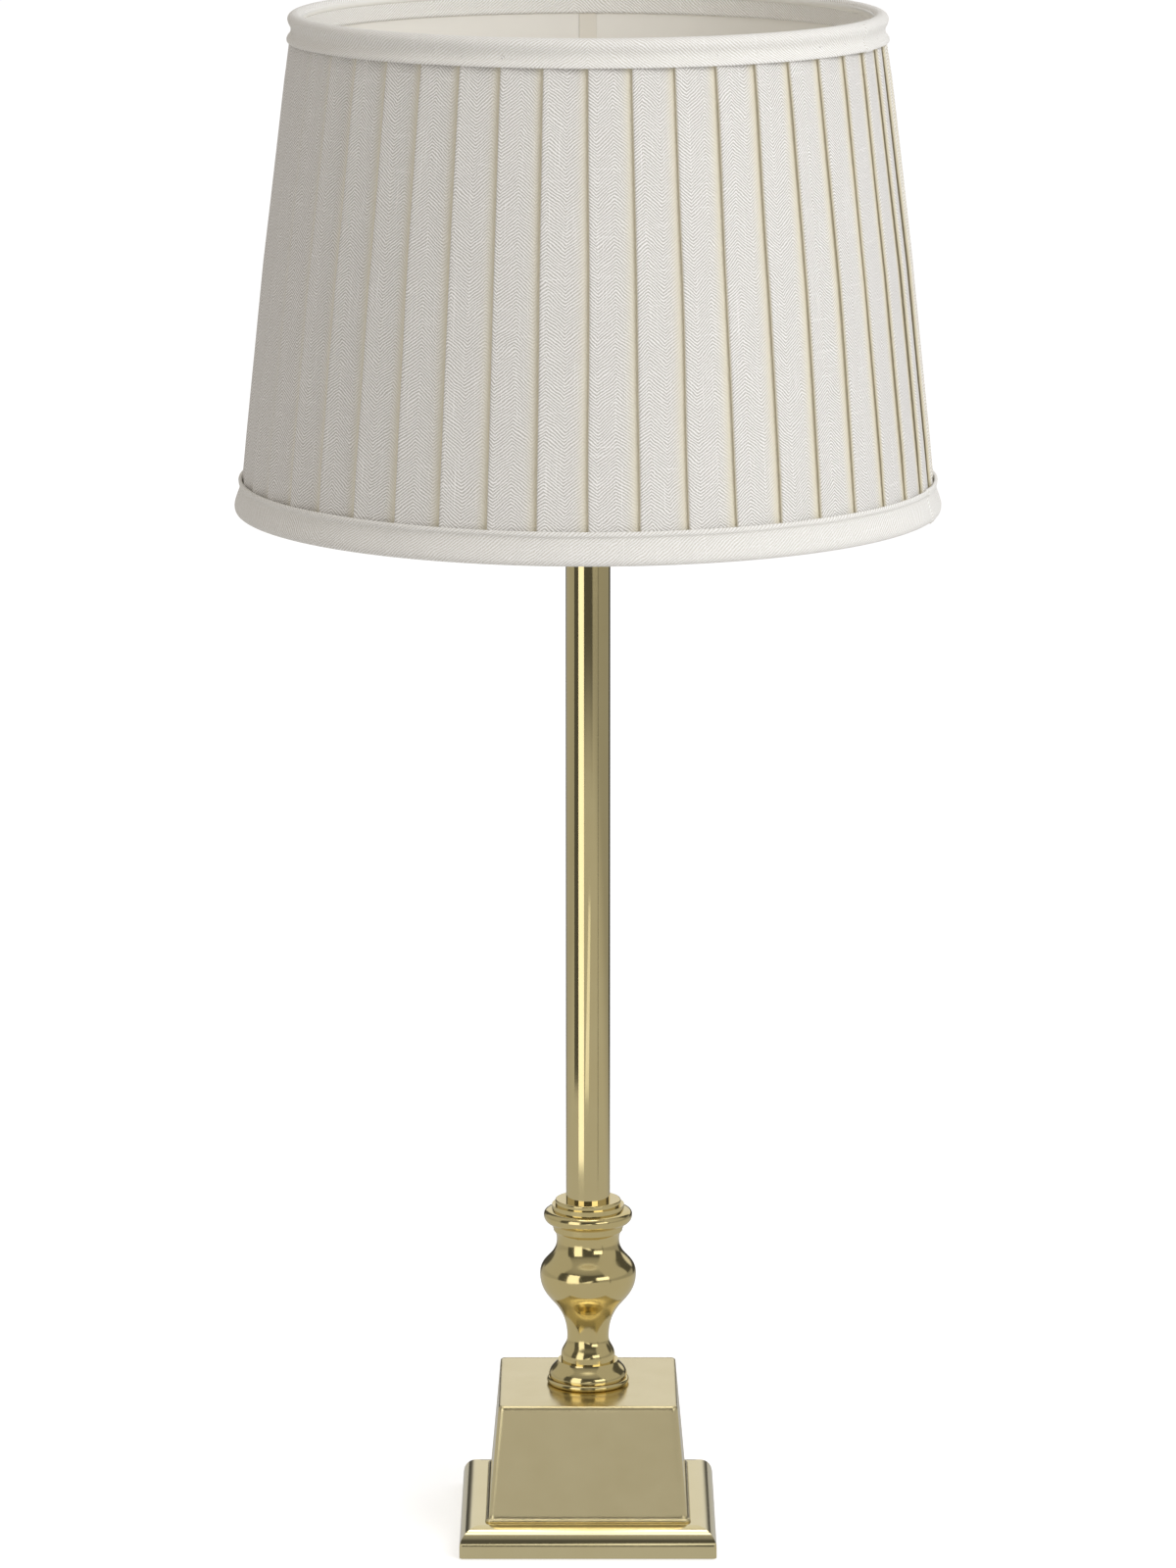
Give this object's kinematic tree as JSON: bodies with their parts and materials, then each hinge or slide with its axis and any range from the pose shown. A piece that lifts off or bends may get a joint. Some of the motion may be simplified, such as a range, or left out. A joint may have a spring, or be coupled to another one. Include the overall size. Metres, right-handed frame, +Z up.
{
  "type": "candlestick lamp",
  "caption": "Table lamp with a square moulded brass base, a turned baluster, a slim column and a knife-pleated linen empire shade held between two rings on a screw lampholder.",
  "frame": {"origin": "on the table under the column's axis, at the middle of the base's underside", "axes": "+Z up along the column, -Y towards the front of the base, +X to its right"},
  "size_m": [0.2988, 0.2988, 0.6574],
  "materials": {
    "polished_brass": "polished, slightly aged",
    "holder_brass": "satin",
    "pleated_linen": "natural linen, herringbone weave",
    "binding_linen": "natural linen tape",
    "lining": "smooth matt white",
    "white_enamel": "white powder coat",
    "felt": "felt",
    "fibreboard": "raw board",
    "cast_iron": "rough casting",
    "zinc_steel": "zinc plated",
    "nickel": "nickel plated",
    "black_plastic": "moulded",
    "porcelain": "glazed",
    "black_glass": "glossy",
    "opal_glass": "opal white"
  },
  "bodies": {
    "lamp": {"felt_pad": "felt", "base_cover": "fibreboard", "base_plinth": "polished_brass", "base_block": "polished_brass", "base_weight": "cast_iron", "base_screws": "zinc_steel", "cable_bush": "black_plastic", "threaded_rod": "zinc_steel", "rod_washer": "zinc_steel", "rod_nut": "zinc_steel", "baluster_foot": "polished_brass", "baluster_vase": "polished_brass", "baluster_collar": "polished_brass", "column_tube": "polished_brass", "column_cap": "polished_brass", "check_nut": "holder_brass", "lampholder_cap": "holder_brass", "lampholder_shell": "holder_brass", "lampholder_insert": "porcelain", "terminal_screws": "holder_brass", "screw_socket": "nickel", "centre_contact": "holder_brass"},
    "seat": {"seat_ring": "holder_brass"},
    "shade": {"shade_fitter": "white_enamel", "shade_bottom_ring": "white_enamel", "shade_top_ring": "white_enamel", "shade_lining": "lining", "shade_cover": "pleated_linen", "top_binding": "binding_linen", "bottom_binding": "binding_linen"},
    "clamp": {"clamp_ring": "holder_brass"},
    "bulb": {"bulb_contact": "nickel", "bulb_insulator": "black_glass", "bulb_cap": "nickel", "bulb_envelope": "opal_glass"}
  },
  "joints": [
    {"name": "shade_turn", "type": "hinge", "parent": "lamp", "child": "seat", "pos_m": [0, 0, 0.4679], "axis": [0, 0, 1], "continuous": true},
    {"name": "shade_lift", "type": "slide", "parent": "seat", "child": "shade", "axis": [0, 0, 1], "range_m": [0, 0.2]},
    {"name": "clamp_ring_turn", "type": "hinge", "parent": "shade", "child": "clamp", "pos_m": [0, 0, 0.4734], "axis": [0, 0, 1], "continuous": true},
    {"name": "bulb_lift", "type": "slide", "parent": "lamp", "child": "bulb", "axis": [0, 0, 1], "range_m": [0, 0.2]}
  ]
}
